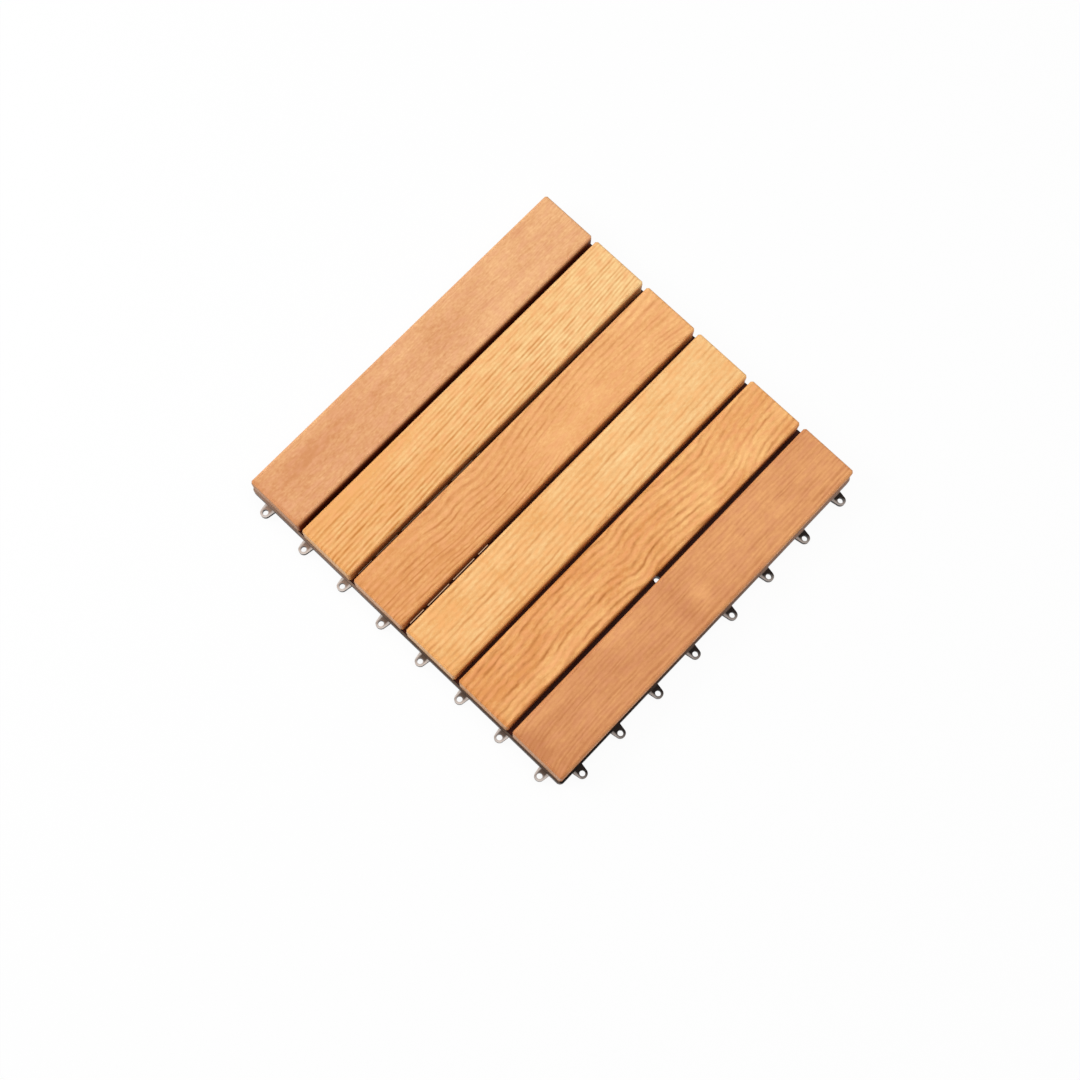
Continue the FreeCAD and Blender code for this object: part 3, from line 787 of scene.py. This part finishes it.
def roundGridEdges():
    grid = bpy.data.objects["base_grid"]
    flatten = grid.modifiers.new("joinFlats", "DECIMATE")
    flatten.decimate_type = "DISSOLVE"
    flatten.angle_limit = math.radians(gridFinish["flatAngle"])
    edges = grid.modifiers.new("softEdges", "BEVEL")
    edges.width = gridFinish["edgeRound"]
    edges.segments = gridFinish["edgeSteps"]
    edges.limit_method = "ANGLE"
    edges.angle_limit = math.radians(gridFinish["edgeAngle"])
    edges.use_clamp_overlap = True


dress("base_grid", makeGridMaterial())
roundGridEdges()
print("grid finished")


# Screws

screwForm = {
    "headRadius": 0.0035,
    "headHeight": 0.0022,
    # from the flat of the head to its seat, as shares of the head's radius and height
    "headOutline": ((0.62, 0.0), (0.84, 0.1), (0.96, 0.32), (1.0, 0.6), (1.0, 1.0)),
    "shankRadius": 0.00172,
    "tipLength": 0.0022,
    "tipRadius": 0.0002,
    "crossLength": 0.0040,
    "crossWidth": 0.00085,
    "crossDepth": 0.0011,
    "crossDraw": 0.7,                # the floor of the cross, as a share of its opening
    "sides": 40,
    "sharpAngle": 32,
    "weldDistance": 1e-6,
    "colour": rgb(196, 192, 180),
    "goldColour": rgb(206, 190, 140),
    "tarnish": (4.0, 3.0, 0.6),      # seed, detail and roughness of a noise
    "tarnishBand": (0.35, 0.7),
    "roughness": 0.2,
    "tarnishRoughness": 0.3,
}


def makeScrewMaterial():
    form = screwForm
    material, tree, shader = newMaterial("zinc_plate")
    tarnish = noise(tree, millimetrePlace(tree), *form["tarnish"])
    patches = smooth(tree, tarnish, *form["tarnishBand"])
    plug(tree, shader["Base Color"], mixColour(tree, patches, form["colour"], form["goldColour"]))
    rough = maths(tree, "MULTIPLY_ADD", tarnish, form["tarnishRoughness"], form["roughness"])
    plug(tree, shader["Roughness"], rough)
    shader["Metallic"].default_value = 1.0
    return material


def screwPlaces():
    # the shanks' middles, and their lowest and highest points, from the CAD node's separate solids
    work = bmesh.new()
    work.from_mesh(bpy.data.objects["screws"].data)
    bmesh.ops.remove_doubles(work, verts=work.verts, dist=screwForm["weldDistance"])
    left = set(work.verts)
    places = []
    while left:
        island = [left.pop()]
        for vert in island:
            for edge in vert.link_edges:
                other = edge.other_vert(vert)
                if other in left:
                    left.discard(other)
                    island.append(other)
        low = Vector([min(v.co[i] for v in island) for i in range(3)])
        high = Vector([max(v.co[i] for v in island) for i in range(3)])
        places.append(((low.x + high.x) / 2, (low.y + high.y) / 2, low.z, high.z))
    work.free()
    return sorted(places)


def addTurned(work, x, y, outline):
    # an outline of radii and heights turned about an upright axis, closed at its top
    count = screwForm["sides"]
    turns = [2 * math.pi * k / count for k in range(count)]
    rings = []
    for radius, z in outline:
        spots = [(x + radius * math.cos(turn), y + radius * math.sin(turn), z) for turn in turns]
        rings.append([work.verts.new(spot) for spot in spots])
    for lower, upper in zip(rings, rings[1:]):
        for k in range(count):
            after = (k + 1) % count
            work.faces.new((lower[k], lower[after], upper[after], upper[k]))
    work.faces.new(rings[-1])
    return rings[0]


def addDriveRecess(work, x, y, low, rim):
    # a cross sunk into the flat of the head, with its floor drawn in
    arm = screwForm["crossLength"] / 2
    web = screwForm["crossWidth"] / 2
    depth = screwForm["crossDepth"]
    draw = screwForm["crossDraw"]
    corners = []
    for k in range(4):
        turn = math.pi / 2 * k
        c, s = math.cos(turn), math.sin(turn)
        for px, py in ((arm, -web), (arm, web), (web, web)):
            corners.append((px * c - py * s, px * s + py * c))
    top = [work.verts.new((x + px, y + py, low)) for px, py in corners]
    floor = [work.verts.new((x + px * draw, y + py * draw, low + depth)) for px, py in corners]
    count = len(top)
    for k in range(count):
        after = (k + 1) % count
        work.faces.new((top[k], top[after], floor[after], floor[k]))
    work.faces.new(floor)
    edges = [work.edges.get((top[k], top[(k + 1) % count])) for k in range(count)]
    edges += [work.edges.get((rim[k], rim[(k + 1) % len(rim)])) for k in range(len(rim))]
    bmesh.ops.triangle_fill(work, use_beauty=True, use_dissolve=False, edges=edges)


def makeScrews(material):
    form = screwForm
    work = bmesh.new()
    for x, y, low, high in screwPlaces():
        outline = [
            (form["headRadius"] * share, low + form["headHeight"] * rise)
            for share, rise in form["headOutline"]
        ]
        outline.append((form["shankRadius"], low + form["headHeight"]))
        outline.append((form["shankRadius"], high - form["tipLength"]))
        outline.append((form["tipRadius"], high))
        rim = addTurned(work, x, y, outline)
        addDriveRecess(work, x, y, low, rim)
    mesh = bpy.data.meshes.new("panScrews")
    bmesh.ops.recalc_face_normals(work, faces=work.faces)
    work.to_mesh(mesh)
    work.free()
    mesh.materials.append(material)
    for face in mesh.polygons:
        face.use_smooth = True
    mesh.set_sharp_from_angle(angle=math.radians(form["sharpAngle"]))
    piece = bpy.data.objects.new("panScrews", mesh)
    scene.collection.objects.link(piece)
    return piece


screwPiece = makeScrews(makeScrewMaterial())
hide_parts("screws")
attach(screwPiece, "root")
print("screws finished")


# Floor, light and camera

stage = {
    "floorSize": 6.0,
    "floorDrop": 0.0002,
    "floorColour": (0.86, 0.86, 0.86, 1.0),
    "floorShow": 0.94,                # how much of the floor's white is even, whatever falls on it
    "underX": (-0.075, 0.02),         # painted light: the floor under the tile that the slots show glows a warm tint
    "underY": (-0.149, -0.01),
    "underGlowTint": (0.75, 0.48, 0.3, 1.0),
    "shadeBand": (-0.02, -0.035),     # and shaded towards -X
    "underShade": 0.55,
    "worldStrength": 0.35,
    "keyPlace": (-1.1, -0.75, 1.05),
    "keySize": 0.9,
    "keyPower": 13.0,
    "topPlace": (0.15, 0.35, 1.9),
    "topSize": 1.6,
    "topPower": 18.0,
}


def makeFloorMaterial():
    material = bpy.data.materials.new("paleFloor")
    material.use_nodes = True
    tree = material.node_tree
    tree.nodes.clear()
    output = newNode(tree, "ShaderNodeOutputMaterial")
    card = newNode(tree, "ShaderNodeBsdfDiffuse")
    card.inputs["Color"].default_value = stage["floorColour"]
    glow = newNode(tree, "ShaderNodeEmission")
    rays = newNode(tree, "ShaderNodeLightPath")
    seen = maths(tree, "MAXIMUM", rays.outputs["Is Camera Ray"], rays.outputs["Is Glossy Ray"])
    x, y, _ = separate(tree, objectPlace(tree))
    under = 1.0
    for place, (least, most) in ((x, stage["underX"]), (y, stage["underY"])):
        under = maths(tree, "MULTIPLY", maths(tree, "GREATER_THAN", place, least), under)
        under = maths(tree, "MULTIPLY", maths(tree, "LESS_THAN", place, most), under)
    shade = maths(tree, "MULTIPLY", under, smooth(tree, x, *stage["shadeBand"]))
    # painted light: a warm glow on the floor under the tile
    plug(tree, glow.inputs["Color"], mixColour(tree, under, white, stage["underGlowTint"]))
    show = maths(tree, "MULTIPLY_ADD", shade, -stage["underShade"], stage["floorShow"])
    blend = newNode(tree, "ShaderNodeMixShader")
    plug(tree, blend.inputs[0], maths(tree, "MULTIPLY", seen, show))
    plug(tree, blend.inputs[1], card.outputs[0])
    plug(tree, blend.inputs[2], glow.outputs[0])
    plug(tree, output.inputs["Surface"], blend.outputs[0])
    return material


def makeFloor():
    half = stage["floorSize"] / 2
    mesh = bpy.data.meshes.new("paleFloor")
    corners = [(-half, -half, 0), (half, -half, 0), (half, half, 0), (-half, half, 0)]
    mesh.from_pydata(corners, [], [(0, 1, 2, 3)])
    mesh.materials.append(makeFloorMaterial())
    floor = bpy.data.objects.new("paleFloor", mesh)
    floor.location.z = -stage["floorDrop"]
    scene.collection.objects.link(floor)


def makeWorld():
    # the room is white where the camera sees it, and lights the tile more softly
    world = bpy.data.worlds.new("softRoom")
    world.use_nodes = True
    tree = world.node_tree
    tree.nodes.clear()
    output = newNode(tree, "ShaderNodeOutputWorld")
    seen = newNode(tree, "ShaderNodeBackground")
    seen.inputs["Color"].default_value = white
    lit = newNode(tree, "ShaderNodeBackground")
    lit.inputs["Color"].default_value = white
    lit.inputs["Strength"].default_value = stage["worldStrength"]
    rays = newNode(tree, "ShaderNodeLightPath")
    blend = newNode(tree, "ShaderNodeMixShader")
    plug(tree, blend.inputs[0], rays.outputs["Is Camera Ray"])
    plug(tree, blend.inputs[1], lit.outputs[0])
    plug(tree, blend.inputs[2], seen.outputs[0])
    plug(tree, output.inputs["Surface"], blend.outputs[0])
    scene.world = world


def makeLamp(name, place, size, power):
    light = bpy.data.lights.new(name, "AREA")
    light.shape = "DISK"
    light.size = size
    light.energy = power
    lamp = bpy.data.objects.new(name, light)
    lamp.location = place
    lamp.rotation_euler = (-Vector(place)).to_track_quat("-Z", "Y").to_euler()
    scene.collection.objects.link(lamp)


cameraView = {
    "place": (0.19292, -0.24737, 1.2037),
    "aim": (0.02442, -0.03897, 0.024),
    "roll": 4.84,          # degrees
    "sensor": 36.0,        # millimetres, as is the lens
    "lens": 58.8,
    "nearest": 0.01,
}


def makeCamera():
    data = bpy.data.cameras.new("photoCamera")
    data.sensor_width = cameraView["sensor"]
    data.lens = cameraView["lens"]
    data.clip_start = cameraView["nearest"]
    camera = bpy.data.objects.new("photoCamera", data)
    place = Vector(cameraView["place"])
    facing = (Vector(cameraView["aim"]) - place).to_track_quat("-Z", "Y")
    roll = Quaternion((0, 0, 1), math.radians(cameraView["roll"]))
    camera.location = place
    camera.rotation_euler = (facing @ roll).to_euler()
    scene.collection.objects.link(camera)
    scene.camera = camera


makeFloor()
makeWorld()
makeLamp("keyLamp", stage["keyPlace"], stage["keySize"], stage["keyPower"])
makeLamp("topLamp", stage["topPlace"], stage["topSize"], stage["topPower"])
makeCamera()
scene.view_settings.view_transform = "Standard"
print("stage ready")
